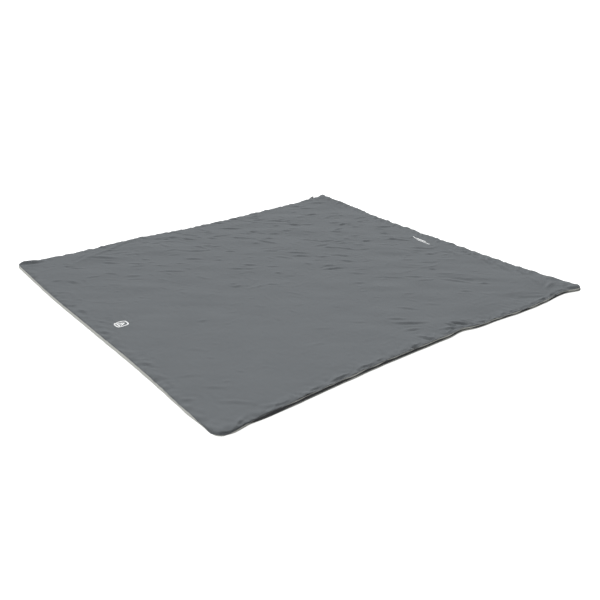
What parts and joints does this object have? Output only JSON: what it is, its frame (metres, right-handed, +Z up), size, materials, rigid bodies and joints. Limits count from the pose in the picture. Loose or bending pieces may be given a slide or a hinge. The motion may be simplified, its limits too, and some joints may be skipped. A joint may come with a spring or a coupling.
{
  "type": "camp quilt",
  "caption": "Flat padded camping quilt laid open, plain fabric shell over a light lining, with a separating side and foot zip so that it folds in half into a bag.",
  "frame": {"origin": "on the floor under the middle of the quilt as it lies open and flat, where the fold line crosses the middle of its length", "axes": "+X across the quilt to its right side, the moving half; +Y along the quilt to the foot edge; +Z up out of the shell"},
  "size_m": [1.9784, 2.0819, 0.0348],
  "materials": {
    "shell_fabric": "matte",
    "lining_fabric": "matte",
    "wadding": "matte",
    "zip_tape": "matte",
    "zip_coil": "satin",
    "zip_plastic": "satin",
    "zip_metal": "satin",
    "end_film": "gloss",
    "grip_rubber": "matte",
    "print_ink": "matte"
  },
  "bodies": {
    "left_half": {"shell_left": "shell_fabric", "lining_left": "lining_fabric", "wadding_left": "wadding", "zip_tape_left": "zip_tape", "zip_coil_left": "zip_coil", "top_stop_left": "zip_metal", "end_film_left": "end_film", "holding_pin": "zip_plastic"},
    "right_half": {"shell_right": "shell_fabric", "lining_right": "lining_fabric", "wadding_right": "wadding", "zip_tape_right": "zip_tape", "zip_coil_right": "zip_coil", "top_stop_right": "zip_metal", "end_film_right": "end_film", "insertion_pin": "zip_plastic"},
    "side_slider": {"side_slider_body": "zip_metal"},
    "side_pull": {"side_pull_tab": "zip_metal", "side_pull_grip": "grip_rubber"},
    "foot_slider": {"foot_slider_body": "zip_metal"},
    "foot_pull": {"foot_pull_tab": "zip_metal", "foot_pull_grip": "grip_rubber"}
  },
  "joints": [
    {"name": "fold", "type": "hinge", "parent": "left_half", "child": "right_half", "pos_m": [0, 0, 0.027], "axis": [0, -1, 0], "range_deg": [0, 180]},
    {"name": "side_slider_run", "type": "slide", "parent": "left_half", "child": "side_slider", "axis": [0, -1, 0], "range_m": [0, 1.863]},
    {"name": "side_pull_flip", "type": "hinge", "parent": "side_slider", "child": "side_pull", "pos_m": [-0.9844, 0.922, 0.0159], "axis": [1, 0, 0], "range_deg": [-22, 158]},
    {"name": "foot_slider_run", "type": "slide", "parent": "left_half", "child": "foot_slider", "axis": [1, 0, 0], "range_m": [0, 0.83]},
    {"name": "foot_pull_flip", "type": "hinge", "parent": "foot_slider", "child": "foot_pull", "pos_m": [-0.9, 1.0424, 0.0159], "axis": [0, -1, 0], "range_deg": [0, 180]}
  ]
}
